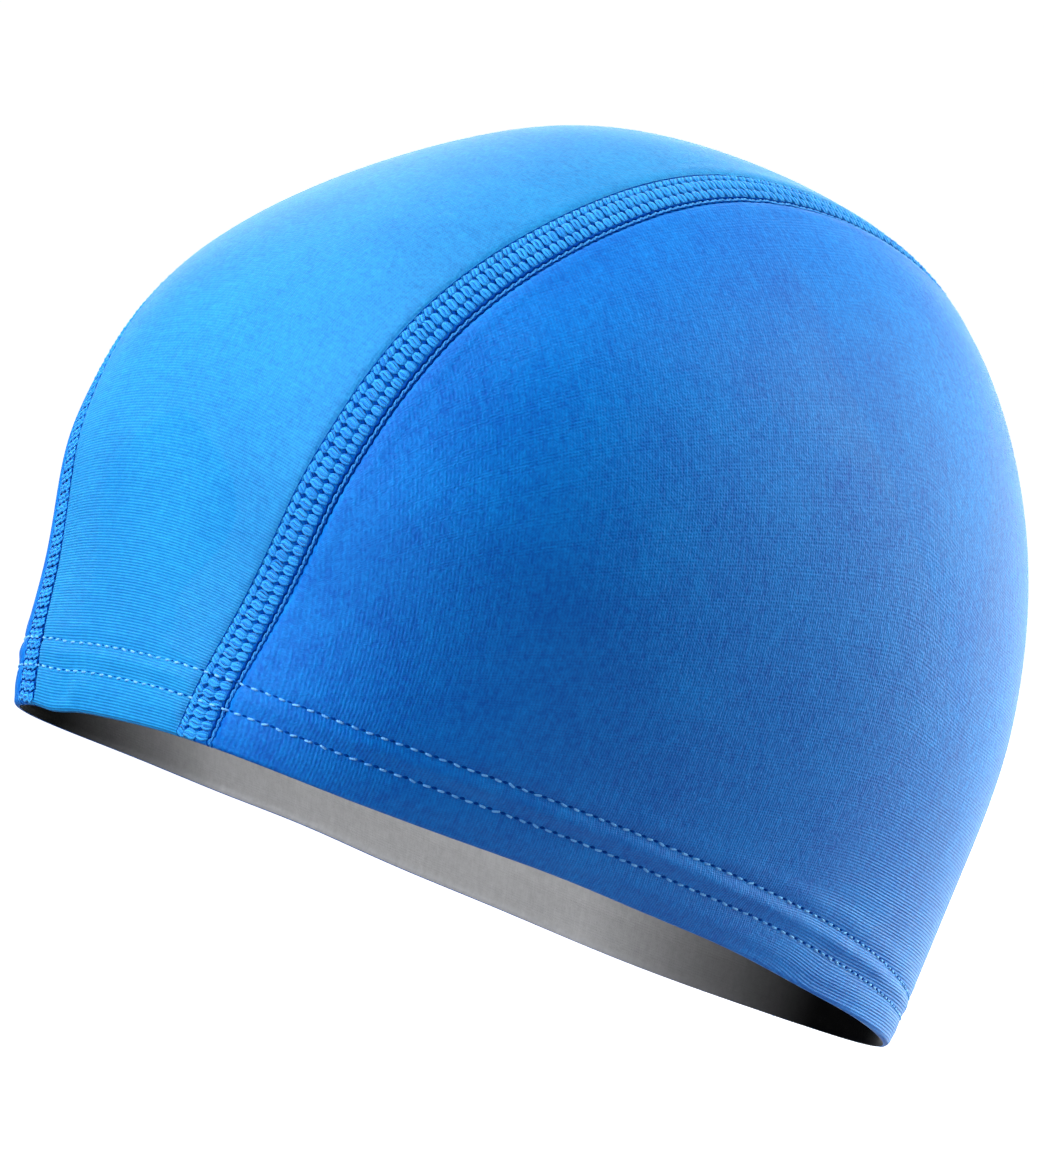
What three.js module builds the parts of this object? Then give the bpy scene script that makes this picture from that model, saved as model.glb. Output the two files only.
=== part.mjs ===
// A knitted swim cap in the form it has on a head: a centre panel from brow to nape, a panel
// over each ear, a flatlocked seam in each joint, and a turned-up hem.
// Millimetres, +Z up, the brow at -Y, the nape at +Y and the wearer's left at +X.
// The origin is the middle of the head opening, where the cap sits on the wearer.
import * as THREE from "three";

// Driving sizes: the dome, measured on the panels' outer face from the middle of the head opening.
const rimHalfWidth = 62;
const browReach = 91;
const napeReach = 103.5;
const capHeight = 148.5;
const crownSetback = 11.5;
const earLift = 1.7;
const wearTilt = 25.5;

// Driving sizes: the cloth, the seams and the hem.
const wall = 1;
const clearance = 0.3;
const seamWidth = 8.8;
const seamThickness = 0.8;
const seamCrown = 0.3;
const webWidth = 1;
const hemDepth = 18;
const hemThickness = 1;
const foldThickness = 1;

// Form of the dome: how much its corners square up, and how much wider the brow end is.
const cornerFullness = 0.06;
const browCornerGain = 1.3;
const browWidening = 0.035;
const earLiftSharpness = 6;

// Rows of the dome by their angle above the rim. Each length is a share of the rim's own
// half width, brow reach and nape reach, before the row closes in towards the crown.
const domeRows = [
  { angle: 0, side: 1, brow: 1, nape: 1 },
  { angle: 18, side: 1.32, brow: 1.13, nape: 1 },
  { angle: 40, side: 1.53, brow: 1.35, nape: 1 },
  { angle: 65, side: 1.6, brow: 1.48, nape: 1.12 },
  { angle: 90, side: 1.68, brow: 1.82, nape: 1.37 },
];

// The seam's way over the head, by the turn from brow to nape: how far it lies to the side,
// as a share of the way from the middle line to the ear.
const seamRows = [
  { turn: 0, lateral: 0.415 },
  { turn: 25, lateral: 0.45 },
  { turn: 50, lateral: 0.42 },
  { turn: 75, lateral: 0.32 },
  { turn: 100, lateral: 0.245 },
  { turn: 125, lateral: 0.2 },
  { turn: 180, lateral: 0.245 },
];

// Faceting: cells along and across each piece.
const centreCellsAlong = 48;
const centreCellsAcross = 8;
const sideCellsAlong = 28;
const sideCellsUp = 12;
const seamCellsAlong = 54;
const hemCellsAround = 72;
const hemCellsUp = 2;

// Turns along the seam where a side panel's front and back edges give way to its top edge.
const frontCornerTurn = 40;
const backCornerTurn = 128;

const fabricBlue = new THREE.Color(0.1, 0.42, 0.86);
const threadBlue = new THREE.Color(0.16, 0.6, 0.95);

const radians = THREE.MathUtils.degToRad;
const halfTurn = Math.PI;
const differenceStep = 1e-3;
const nearCrown = 0.9;

// A natural cubic spline through rows of [at, value], level at its end if levelEnd is true.
function spline(rows, levelEnd) {
  const last = rows.length - 1;
  const gap = (i) => rows[i + 1][0] - rows[i][0];
  const slope = (i) => (rows[i + 1][1] - rows[i][1]) / gap(i);
  const carried = [0];
  const bend = [0];
  for (let i = 1; i < last; i += 1) {
    const pivot = 2 * (gap(i - 1) + gap(i)) - gap(i - 1) * carried[i - 1];
    carried[i] = gap(i) / pivot;
    bend[i] = (6 * (slope(i) - slope(i - 1)) - gap(i - 1) * bend[i - 1]) / pivot;
  }
  const endPivot = gap(last - 1) * (2 - carried[last - 1]);
  bend[last] = levelEnd ? (-6 * slope(last - 1) - gap(last - 1) * bend[last - 1]) / endPivot : 0;
  for (let i = last - 1; i > 0; i -= 1) {
    bend[i] -= carried[i] * bend[i + 1];
  }
  return (at) => {
    let i = 0;
    while (i < last - 1 && at > rows[i + 1][0]) {
      i += 1;
    }
    const before = at - rows[i][0];
    const after = rows[i + 1][0] - at;
    const span = gap(i);
    return (bend[i] * after ** 3 + bend[i + 1] * before ** 3) / (6 * span)
      + (rows[i][1] / span - bend[i] * span / 6) * after
      + (rows[i + 1][1] / span - bend[i + 1] * span / 6) * before;
  };
}

const rowSpline = (column) => spline(domeRows.map((row) => [radians(row.angle), row[column]]), true);
const sideShare = rowSpline("side");
const browShare = rowSpline("brow");
const napeShare = rowSpline("nape");
const seamLateral = spline(seamRows.map((row) => [radians(row.turn), row.lateral]), false);

// The panels' outer face, for a direction on the unit half sphere above the rim.
function domePoint(direction) {
  const { x, y, z } = direction.clone().normalize();
  const angle = Math.asin(z);
  const level = Math.hypot(x, y) || differenceStep;
  const facing = -y / level;
  const brow = browReach * browShare(angle);
  const nape = napeReach * napeShare(angle);
  const reach = (brow + nape) / 2 + (brow - nape) / 2 * facing;
  const full = 1 + cornerFullness * 4 * (x * y / level) ** 2 * (1 + browCornerGain * facing);
  return new THREE.Vector3(
    rimHalfWidth * sideShare(angle) * x * (1 + browWidening * facing * level) * full,
    reach * y * full + crownSetback * z ** 2,
    capHeight * z,
  );
}

function domeNormal(direction) {
  const away = direction.z > nearCrown ? new THREE.Vector3(1, 0, 0) : new THREE.Vector3(0, 0, 1);
  const first = new THREE.Vector3().crossVectors(away, direction).normalize();
  const second = new THREE.Vector3().crossVectors(direction, first);
  const change = (along) => domePoint(direction.clone().addScaledVector(along, differenceStep))
    .sub(domePoint(direction.clone().addScaledVector(along, -differenceStep)));
  return new THREE.Vector3().crossVectors(change(first), change(second)).normalize();
}

// A point at a direction, moved out from the panels' outer face by a depth.
const offDome = (direction, depth) => domePoint(direction).addScaledVector(domeNormal(direction), depth);

// Directions from a turn over the head and a lateral share, and from a heading round the rim
// with a height above the rim plane.
function overHead(turn, lateral) {
  const middle = Math.sqrt(1 - lateral ** 2);
  return new THREE.Vector3(lateral, -middle * Math.cos(turn), middle * Math.sin(turn));
}

function roundRim(heading, height) {
  const z = height / capHeight;
  const level = Math.sqrt(1 - z ** 2);
  return new THREE.Vector3(level * Math.sin(heading), -level * Math.cos(heading), z);
}

// The rim's own height: it dips at brow and nape and lifts a little over the ears.
const rimHeight = (heading) => earLift * Math.abs(Math.sin(heading)) ** earLiftSharpness;

// The lower edge of panels and seams, which stands on the hem's fold.
const edgeLift = foldThickness + clearance;

// The seam's lateral share at a turn, moved sideways along the cloth by a distance.
function besideSeam(turn, distance) {
  const lateral = seamLateral(turn);
  const at = (turnHere, lateralHere) => domePoint(overHead(turnHere, lateralHere));
  const along = at(turn + differenceStep, seamLateral(turn + differenceStep))
    .sub(at(turn - differenceStep, seamLateral(turn - differenceStep))).normalize();
  const across = at(turn, lateral + differenceStep).sub(at(turn, lateral - differenceStep))
    .divideScalar(2 * differenceStep);
  const rate = across.addScaledVector(along, -across.dot(along)).length();
  return lateral + distance / rate;
}

// The turn at which a seam or the centre panel starts at the brow. It ends as far from the nape.
function startTurn(lateral) {
  return Math.asin(edgeLift / (capHeight * Math.sqrt(1 - lateral ** 2)));
}

const turnAt = (share, lateral) => {
  const start = startTurn(lateral);
  return start + share * (halfTurn - 2 * start);
};
const seamTurn = (share) => turnAt(share, seamLateral(share * halfTurn));

// Half the joint that each seam's web runs in, from the seam's middle to a panel's edge.
const jointHalf = webWidth / 2 + clearance;

// A closed solid from a grid of outer points and a grid of inner points of the same size.
function sheetSolid(outer, inner, turnedOver) {
  const rows = outer.length;
  const columns = outer[0].length;
  const points = [...outer.flat(), ...inner.flat()];
  const top = (i, j) => i * columns + j;
  const under = (i, j) => rows * columns + top(i, j);
  const faces = [];
  const quad = (a, b, c, d) => faces.push(a, b, c, a, c, d);
  for (let i = 0; i + 1 < rows; i += 1) {
    for (let j = 0; j + 1 < columns; j += 1) {
      quad(top(i, j), top(i, j + 1), top(i + 1, j + 1), top(i + 1, j));
      quad(under(i, j), under(i + 1, j), under(i + 1, j + 1), under(i, j + 1));
    }
    quad(top(i, 0), top(i + 1, 0), under(i + 1, 0), under(i, 0));
    const end = columns - 1;
    quad(top(i, end), under(i, end), under(i + 1, end), top(i + 1, end));
  }
  for (let j = 0; j + 1 < columns; j += 1) {
    quad(top(0, j), under(0, j), under(0, j + 1), top(0, j + 1));
    const end = rows - 1;
    quad(top(end, j), top(end, j + 1), under(end, j + 1), under(end, j));
  }
  return solid(points, faces, turnedOver);
}

// A closed solid swept through sections of the same number of points. The outline closes its two
// ends, and without one the last section joins the first as a ring.
function sweptSolid(sections, endOutline, turnedOver) {
  const count = sections[0].length;
  const spans = endOutline ? sections.length - 1 : sections.length;
  const faces = [];
  for (let i = 0; i < spans; i += 1) {
    const here = i * count;
    const next = ((i + 1) % sections.length) * count;
    for (let j = 0; j < count; j += 1) {
      const k = (j + 1) % count;
      faces.push(here + j, here + k, next + k, here + j, next + k, next + j);
    }
  }
  if (endOutline) {
    const last = (sections.length - 1) * count;
    THREE.ShapeUtils.triangulateShape(endOutline, []).forEach(([a, b, c]) => {
      faces.push(a, c, b, last + a, last + b, last + c);
    });
  }
  return solid(sections.flat(), faces, turnedOver);
}

function solid(points, faces, turnedOver) {
  const geometry = new THREE.BufferGeometry().setFromPoints(points);
  const wound = faces.slice();
  if (turnedOver) {
    for (let i = 0; i < wound.length; i += 3) {
      [wound[i], wound[i + 1]] = [wound[i + 1], wound[i]];
    }
  }
  geometry.setIndex(wound);
  geometry.computeVertexNormals();
  return geometry;
}

const steps = (cells) => Array.from({ length: cells + 1 }, (_, i) => i / cells);

// The centre panel, from brow to nape between the two joints.
function centrePanel() {
  const grid = (depth) => steps(centreCellsAlong).map((along) => {
    const edge = besideSeam(seamTurn(along), -jointHalf);
    return steps(centreCellsAcross).map((across) => {
      const lateral = (2 * across - 1) * edge;
      return offDome(overHead(turnAt(along, lateral), lateral), depth);
    });
  });
  return sheetSolid(grid(0), grid(-wall), false);
}

// A panel over one ear. Its lower edge follows the rim, and its front, top and back edges
// follow the seam. The grid between them is blended from the four edges.
function sidePanel(side) {
  const onSeam = (turn) => overHead(turn, besideSeam(turn, jointHalf));
  const start = startTurn(seamLateral(0));
  const end = halfTurn - startTurn(seamLateral(halfTurn));
  const frontTurn = radians(frontCornerTurn);
  const backTurn = radians(backCornerTurn);
  const heading = (direction) => Math.atan2(direction.x, -direction.y);
  const firstHeading = heading(onSeam(start));
  const lastHeading = heading(onSeam(end));
  const lower = (u) => {
    const here = THREE.MathUtils.lerp(firstHeading, lastHeading, u);
    return roundRim(here, rimHeight(here) + edgeLift);
  };
  const upper = (u) => onSeam(THREE.MathUtils.lerp(frontTurn, backTurn, u));
  const front = (v) => onSeam(THREE.MathUtils.lerp(start, frontTurn, v));
  const back = (v) => onSeam(THREE.MathUtils.lerp(end, backTurn, v));
  const blended = (u, v) => new THREE.Vector3()
    .addScaledVector(lower(u), 1 - v).addScaledVector(upper(u), v)
    .addScaledVector(front(v), 1 - u).addScaledVector(back(v), u)
    .addScaledVector(lower(0), -(1 - u) * (1 - v)).addScaledVector(lower(1), -u * (1 - v))
    .addScaledVector(upper(0), -(1 - u) * v).addScaledVector(upper(1), -u * v)
    .normalize();
  const mirrored = (direction) => direction.setX(direction.x * side);
  const grid = (depth) => steps(sideCellsUp).map((v) => steps(sideCellsAlong)
    .map((u) => offDome(mirrored(blended(u, v)), depth)));
  return sheetSolid(grid(0), grid(-wall), side < 0);
}

// A flatlocked seam: a flat band of thread over both panels' edges, with a web in the joint.
function seamBand(side) {
  const half = seamWidth / 2;
  const webHalf = webWidth / 2;
  const under = clearance;
  const edgeTop = clearance + seamThickness;
  const profile = [
    { across: -half, depth: under },
    { across: -webHalf, depth: under },
    { across: -webHalf, depth: -wall },
    { across: webHalf, depth: -wall },
    { across: webHalf, depth: under },
    { across: half, depth: under },
    { across: half, depth: edgeTop },
    { across: 0, depth: edgeTop + seamCrown },
    { across: -half, depth: edgeTop },
  ];
  const sections = steps(seamCellsAlong).map((along) => profile.map(({ across, depth }) => {
    const lateral = besideSeam(seamTurn(along), across);
    return offDome(overHead(turnAt(along, lateral), lateral * side), depth);
  }));
  const outline = profile.map(({ across, depth }) => new THREE.Vector2(across, depth));
  return sweptSolid(sections, outline, side > 0);
}

// The hem: the cloth turned up inside all round, with its fold under the panels' lower edges.
function hemBand() {
  const outside = -(wall + clearance);
  const inside = outside - hemThickness;
  const heights = steps(hemCellsUp).map((share) => THREE.MathUtils.lerp(edgeLift, hemDepth, share));
  const profile = [
    { depth: inside, height: 0 },
    { depth: 0, height: 0 },
    { depth: 0, height: foldThickness },
    { depth: outside, height: foldThickness },
    ...heights.slice(1).map((height) => ({ depth: outside, height })),
    ...heights.slice().reverse().map((height) => ({ depth: inside, height })),
  ];
  const sections = steps(hemCellsAround).slice(0, -1).map((share) => {
    const heading = share * 2 * halfTurn;
    const lift = rimHeight(heading);
    return profile.map(({ depth, height }) => offDome(roundRim(heading, lift + height), depth));
  });
  return sweptSolid(sections, null, true);
}

function piece(name, geometry, color, roughness) {
  const material = new THREE.MeshStandardMaterial({ color, roughness, metalness: 0 });
  const mesh = new THREE.Mesh(geometry, material);
  mesh.name = name;
  return mesh;
}

const fabricRoughness = 0.6;
const threadRoughness = 0.75;

// The cap in its own frame, with the rim level, leaned back as it is worn.
const leanedCap = new THREE.Group();
leanedCap.rotation.x = -radians(wearTilt);
leanedCap.add(
  piece("panel_center", centrePanel(), fabricBlue, fabricRoughness),
  piece("panel_left", sidePanel(1), fabricBlue, fabricRoughness),
  piece("panel_right", sidePanel(-1), fabricBlue, fabricRoughness),
  piece("seam_left", seamBand(1), threadBlue, threadRoughness),
  piece("seam_right", seamBand(-1), threadBlue, threadRoughness),
  piece("hem_band", hemBand(), fabricBlue, fabricRoughness),
);

const swimCap = new THREE.Group();
swimCap.add(leanedCap);

export default swimCap;
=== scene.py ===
"""A knitted swim cap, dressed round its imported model.

The cloth, seams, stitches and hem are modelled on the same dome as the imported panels. Lengths in
the tables and functions below are in millimetres in the cap's own frame, with the rim level, the
brow at -Y, the nape at +Y and the wearer's left at +X. to_row leans them as the cap is worn and
turns them into metres.
"""
import math

import bpy
import numpy as np
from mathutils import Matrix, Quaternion, Vector


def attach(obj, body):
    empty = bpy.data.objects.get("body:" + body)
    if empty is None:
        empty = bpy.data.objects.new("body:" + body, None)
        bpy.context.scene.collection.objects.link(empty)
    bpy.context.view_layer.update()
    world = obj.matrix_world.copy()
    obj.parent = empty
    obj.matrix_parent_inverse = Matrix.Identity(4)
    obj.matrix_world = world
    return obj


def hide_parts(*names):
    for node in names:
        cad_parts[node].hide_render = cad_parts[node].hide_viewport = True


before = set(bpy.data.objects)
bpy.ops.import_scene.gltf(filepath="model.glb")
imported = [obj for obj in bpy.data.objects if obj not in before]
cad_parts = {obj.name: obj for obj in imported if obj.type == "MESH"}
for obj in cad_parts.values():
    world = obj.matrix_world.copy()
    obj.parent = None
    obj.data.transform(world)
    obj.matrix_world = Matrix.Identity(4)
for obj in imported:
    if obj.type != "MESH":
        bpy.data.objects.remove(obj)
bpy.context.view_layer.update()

MM = 0.001
SEED = 7

# Driving sizes of the dome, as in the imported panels.
RIM_HALF_WIDTH = 62.0
BROW_REACH = 91.0
NAPE_REACH = 103.5
CAP_HEIGHT = 148.5
CROWN_SETBACK = 11.5
EAR_LIFT = 1.7
WEAR_TILT = math.radians(25.5)
CORNER_FULLNESS = 0.06
BROW_CORNER_GAIN = 1.3
BROW_WIDENING = 0.035
EAR_LIFT_SHARPNESS = 6

# Rows of the dome: angle above the rim, then shares of half width, brow reach and nape reach.
DOME_ROWS = np.array([
    (0, 1.0, 1.0, 1.0),
    (18, 1.32, 1.13, 1.0),
    (40, 1.53, 1.35, 1.0),
    (65, 1.6, 1.48, 1.12),
    (90, 1.68, 1.82, 1.37),
])

# Rows of the seam: turn from brow to nape, then its share of the way from the middle to the ear.
SEAM_ROWS = np.array([
    (0, 0.415),
    (25, 0.45),
    (50, 0.42),
    (75, 0.32),
    (100, 0.245),
    (125, 0.2),
    (180, 0.245),
])

# Cloth, hem and seam.
WALL = 1.0
FOLD_RADIUS = 1.15
JOINT_HALF = 0.35
HEM_DEPTH = 18.0
HEM_OUTSIDE = -1.35
HEM_INSIDE = -2.27
LOWER_ROW = 7.5
UPPER_ROW = 12.8
SEAM_HALF = 4.4
BAND_SINK = 0.36
CHANNEL_DEPTH = 0.48
STITCH_PITCH = 2.9
SEAM_PITCH = 2.1
FRONT_CORNER_TURN = math.radians(40)
BACK_CORNER_TURN = math.radians(128)
CLOTH_WRAP = math.radians(86)
STEP = 1e-3
SEAM_LINE_POINTS = 400
DISTANCE_BATCH = 4000


def natural_spline(at, values, level_end):
    """A natural cubic spline through the rows, level at its end if level_end is true."""
    at = np.asarray(at, float)
    values = np.asarray(values, float)
    count = len(at)
    gap = np.diff(at)
    slope = np.diff(values) / gap
    matrix = np.eye(count)
    right = np.zeros(count)
    for i in range(1, count - 1):
        matrix[i, i - 1:i + 2] = gap[i - 1], 2 * (gap[i - 1] + gap[i]), gap[i]
        right[i] = 6 * (slope[i] - slope[i - 1])
    if level_end:
        matrix[-1, -2:] = gap[-1], 2 * gap[-1]
        right[-1] = -6 * slope[-1]
    bend = np.linalg.solve(matrix, right)

    def value(x):
        i = np.clip(np.searchsorted(at, x, side="right") - 1, 0, count - 2)
        span = gap[i]
        before = x - at[i]
        after = at[i + 1] - x
        return ((bend[i] * after ** 3 + bend[i + 1] * before ** 3) / (6 * span)
                + (values[i] / span - bend[i] * span / 6) * after
                + (values[i + 1] / span - bend[i + 1] * span / 6) * before)

    return value


row_angles = np.radians(DOME_ROWS[:, 0])
side_share = natural_spline(row_angles, DOME_ROWS[:, 1], True)
brow_share = natural_spline(row_angles, DOME_ROWS[:, 2], True)
nape_share = natural_spline(row_angles, DOME_ROWS[:, 3], True)
seam_lateral = natural_spline(np.radians(SEAM_ROWS[:, 0]), SEAM_ROWS[:, 1], False)


def unit(vectors):
    return vectors / np.linalg.norm(vectors, axis=-1, keepdims=True)


def dome_point(direction):
    """The cloth's outer face, for directions on the unit half sphere above the rim."""
    x, y, z = np.moveaxis(unit(direction), -1, 0)
    angle = np.arcsin(z)
    level = np.maximum(np.hypot(x, y), STEP)
    facing = -y / level
    brow = BROW_REACH * brow_share(angle)
    nape = NAPE_REACH * nape_share(angle)
    reach = (brow + nape) / 2 + (brow - nape) / 2 * facing
    full = 1 + CORNER_FULLNESS * 4 * (x * y / level) ** 2 * (1 + BROW_CORNER_GAIN * facing)
    wide = RIM_HALF_WIDTH * side_share(angle) * (1 + BROW_WIDENING * facing * level)
    return np.stack([wide * x * full, reach * y * full + CROWN_SETBACK * z ** 2, CAP_HEIGHT * z], -1)


def dome_normal(direction):
    direction = unit(direction)
    away = np.where(direction[..., 2:] > 0.9, np.array([1.0, 0, 0]), np.array([0, 0, 1.0]))
    first = unit(np.cross(away, direction))
    second = np.cross(direction, first)
    change_first = dome_point(direction + STEP * first) - dome_point(direction - STEP * first)
    change_second = dome_point(direction + STEP * second) - dome_point(direction - STEP * second)
    return unit(np.cross(change_first, change_second))


def over_head(turn, lateral):
    middle = np.sqrt(1 - lateral ** 2)
    return np.stack([lateral + 0 * turn, -middle * np.cos(turn), middle * np.sin(turn)], -1)


def round_rim(heading, height):
    z = height / CAP_HEIGHT
    level = np.sqrt(1 - z ** 2)
    return np.stack([level * np.sin(heading), -level * np.cos(heading), z + 0 * heading], -1)


def rim_height(heading):
    return EAR_LIFT * np.abs(np.sin(heading)) ** EAR_LIFT_SHARPNESS


def heading_of(direction):
    return np.arctan2(direction[..., 0], -direction[..., 1])


def beside_seam(turn, distance):
    """The seam's lateral share at a turn, moved sideways along the cloth by a distance."""
    lateral = seam_lateral(turn)
    ahead = dome_point(over_head(turn + STEP, seam_lateral(turn + STEP)))
    behind = dome_point(over_head(turn - STEP, seam_lateral(turn - STEP)))
    along = unit(ahead - behind)
    across = (dome_point(over_head(turn, lateral + STEP)) - dome_point(over_head(turn, lateral - STEP)))
    across = across / (2 * STEP)
    across = across - along * (across * along).sum(-1, keepdims=True)
    return lateral + distance / np.linalg.norm(across, axis=-1)


def hump(at, middle, half_width):
    """A raised cosine: 1 at the middle, and 0 past the half width."""
    inside = np.clip(np.abs(at - middle) / half_width, 0, 1)
    return (1 + np.cos(math.pi * inside)) / 2


# Where the stretched cap is flatter than the dome: how deep, how much deeper on the wearer's left
# than in the middle, at which heading and height, and how far up and down it reaches.
FLATTER = (
    {"depth": 2.5, "lean": 0.3, "heading": math.radians(33), "height": 29.0, "reach": 27.0},
    {"depth": 1.6, "lean": 0.0, "heading": math.radians(145), "height": 25.0, "reach": 40.0},
)
FLATTER_SPREAD = math.radians(45)
LEAN_REACH = 15.0
CROWN_RADIUS = 20.0
CROWN_FULLER = 0.9
DRAWN_UP = {"rise": 1.7, "heading": math.radians(7), "spread": math.radians(33), "height": 14.0,
            "reach": 34.0}
RIM_SAG = {"depth": 0.75, "side": -17.0, "width": 6.0}
RIM_WAVE = {"depth": 0.14, "count": 9, "phase": 0.6}
RIM_REACH = 24.0
BROW_REACH_BACK = 40.0


def settled(points):
    """How the stretched cap departs from the plain dome: flatter corners over the brow and at the
    nape, a slightly fuller crown, the hem drawn up over the brow, a sag of the rim beside one seam,
    and a slow wave."""
    x, y, z = np.moveaxis(points, -1, 0)
    heading = np.arctan2(x, -y)
    inward = 0
    for place in FLATTER:
        around = hump(np.abs(heading), place["heading"], FLATTER_SPREAD)
        depth = place["depth"] + place["lean"] * np.tanh(x / LEAN_REACH)
        inward = inward + depth * (around * hump(z, place["height"], place["reach"]))
    shrink = 1 - inward / np.maximum(np.hypot(x, y), CROWN_RADIUS)
    near_rim = np.clip(1 - z / RIM_REACH, 0, 1) ** 1.5
    at_brow = np.clip(-y / BROW_REACH_BACK, 0, 1)
    sag = RIM_SAG["depth"] * np.exp(-((x - RIM_SAG["side"]) / RIM_SAG["width"]) ** 2) * at_brow
    sag = sag + RIM_WAVE["depth"] * np.sin(RIM_WAVE["count"] * heading + RIM_WAVE["phase"])
    fuller = CROWN_FULLER * np.clip(z / CAP_HEIGHT, 0, 1) ** 3
    drawn_up = DRAWN_UP["rise"] * hump(heading, DRAWN_UP["heading"], DRAWN_UP["spread"])
    drawn_up = drawn_up * hump(np.maximum(z, DRAWN_UP["height"]), DRAWN_UP["height"], DRAWN_UP["reach"])
    return np.stack([x * shrink, y * shrink, z + fuller + drawn_up - sag * near_rim], -1)


def to_row(points):
    """From the cap's own frame in millimetres to the row's frame in metres."""
    x, y, z = np.moveaxis(settled(points), -1, 0)
    cosine = math.cos(WEAR_TILT)
    sine = math.sin(WEAR_TILT)
    return np.stack([x, y * cosine + z * sine, -y * sine + z * cosine], -1) * MM


# The seam's middle line on the wearer's left, as a fine polyline for distances.
fine_turns = np.linspace(0, math.pi, SEAM_LINE_POINTS)
seam_line = dome_point(over_head(fine_turns, seam_lateral(fine_turns)))


def seam_distance(points):
    """Distance of points from the nearer seam's middle line."""
    flat = points.reshape(-1, 3).copy()
    flat[:, 0] = np.abs(flat[:, 0])
    distance = np.empty(len(flat))
    for start in range(0, len(flat), DISTANCE_BATCH):
        batch = slice(start, start + DISTANCE_BATCH)
        gaps = flat[batch, None, :] - seam_line[None, :, :]
        distance[batch] = np.sqrt((gaps ** 2).sum(-1).min(-1))
    return distance.reshape(points.shape[:-1])


def slow_wave(angle, count, phase):
    """A wave round the head that doesn't look regular: three waves with unlike counts."""
    return (np.sin(count * angle + phase) + 0.6 * np.sin(1.7 * count * angle + 2.1 * phase)
            + 0.4 * np.sin(2.9 * count * angle + 0.7 * phase)) / 2


NAPE_DROP = 2.8
NAPE_ROWS_TURN = math.radians(155)
NAPE_ROWS_SPREAD = math.radians(45)


def rows_share(heading):
    """What share of their full height the hem's rows keep: they draw closer to the rim at the nape."""
    aside = np.minimum(np.abs(heading), NAPE_ROWS_TURN)
    return 1 - NAPE_DROP / UPPER_ROW * hump(aside, NAPE_ROWS_TURN, NAPE_ROWS_SPREAD)


# Puffs of the hem by height above the rim: how far each stands out, how much that varies in slow
# waves and in ripples round the head, and the half width of its swell.
HEM_PUFFS = (
    {"height": 4.1, "stands": 0.36, "waves": 0.12, "ripples": 0.0, "half_width": 3.3},
    {"height": (LOWER_ROW + UPPER_ROW) / 2 + 0.4, "stands": 0.76, "waves": 0.22, "ripples": 0.18,
     "half_width": 2.3},
    {"height": UPPER_ROW + 2.6, "stands": 0.22, "waves": 0.0, "ripples": 0.1, "half_width": 2.6},
    {"height": 21.0, "stands": 0.0, "waves": 0.0, "ripples": 0.07, "half_width": 7.0},
)
PUFFED_AT = math.radians(92)
PUFFED_SPREAD = math.radians(62)
PUFFED_LEAST = 0.4
SEAM_HOLDS_DOWN = {"share": 0.8, "reach": 7.5}
ROW_GROOVES = ({"height": LOWER_ROW, "depth": 0.17}, {"height": UPPER_ROW, "depth": 0.2})
GROOVE_HALF_WIDTH = 1.0
CHANNEL_MARGIN = 0.7
CHANNEL_WALL = 0.75
SHOULDER = {"stands": 0.12, "distance": 6.8, "half_width": 2.4}
RIM_CLEARANCE = 2.0
SOFT_SWELL = 0.1
SOFT_LENGTHS = (29.0, 17.0, 23.0)

# A pucker in the hem beside the brow: a dent and the ridge next to it, by distance along the rim.
PUCKER = (
    {"stands": -0.5, "distance": 0.0, "width": 3.2},
    {"stands": 0.35, "distance": 6.0, "width": 3.5},
)
PUCKER_HEADING = math.radians(-12)
PUCKER_HEIGHT = 3.5
PUCKER_REACH = 8.0


def relief(direction, points):
    """How far the cloth stands out of the dome: the hem's puffed rows, the channel each seam lies
    in, and a faint unevenness."""
    heading = heading_of(direction)
    above = CAP_HEIGHT * unit(direction)[..., 2] - rim_height(heading)
    height = above / rows_share(heading)
    distance = seam_distance(points)
    unsteady = slow_wave(heading, 9, 0.4)
    ripple = slow_wave(heading, 31, 1.3)
    hem = 0
    for puff in HEM_PUFFS:
        stands = puff["stands"] + puff["waves"] * unsteady + puff["ripples"] * ripple
        hem = hem + stands * hump(height, puff["height"], puff["half_width"])
    hem *= PUFFED_LEAST + (1 - PUFFED_LEAST) * hump(np.abs(heading), PUFFED_AT, PUFFED_SPREAD)
    hem *= 1 - SEAM_HOLDS_DOWN["share"] * np.exp(-(distance / SEAM_HOLDS_DOWN["reach"]) ** 2)
    hem -= sum(row["depth"] * hump(height, row["height"], GROOVE_HALF_WIDTH) for row in ROW_GROOVES)
    wall = np.clip((SEAM_HALF + CHANNEL_MARGIN - distance) / CHANNEL_WALL, 0, 1)
    seam = -CHANNEL_DEPTH * wall * wall * (3 - 2 * wall)
    seam = seam + SHOULDER["stands"] * hump(distance, SHOULDER["distance"], SHOULDER["half_width"])
    clear_of_rim = np.clip((above - FOLD_RADIUS) / RIM_CLEARANCE, 0, 1)
    x, y, z = (points[..., k] / length for k, length in enumerate(SOFT_LENGTHS))
    soft = SOFT_SWELL * np.sin(y + 1.0) * np.sin(z + x)
    along_rim = (heading - PUCKER_HEADING) * BROW_REACH
    pucker = sum(part["stands"] * np.exp(-((along_rim - part["distance"]) / part["width"]) ** 2)
                 for part in PUCKER)
    pucker = pucker * hump(height, PUCKER_HEIGHT, PUCKER_REACH)
    return (hem + seam + soft + pucker) * clear_of_rim


def share_rows(count, dense):
    """Shares from 0 to 1 that lie closer together at both ends, the more so the larger dense is."""
    share = np.linspace(0, 1, count)
    return share - dense * np.sin(2 * math.pi * share) / (2 * math.pi)


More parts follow.
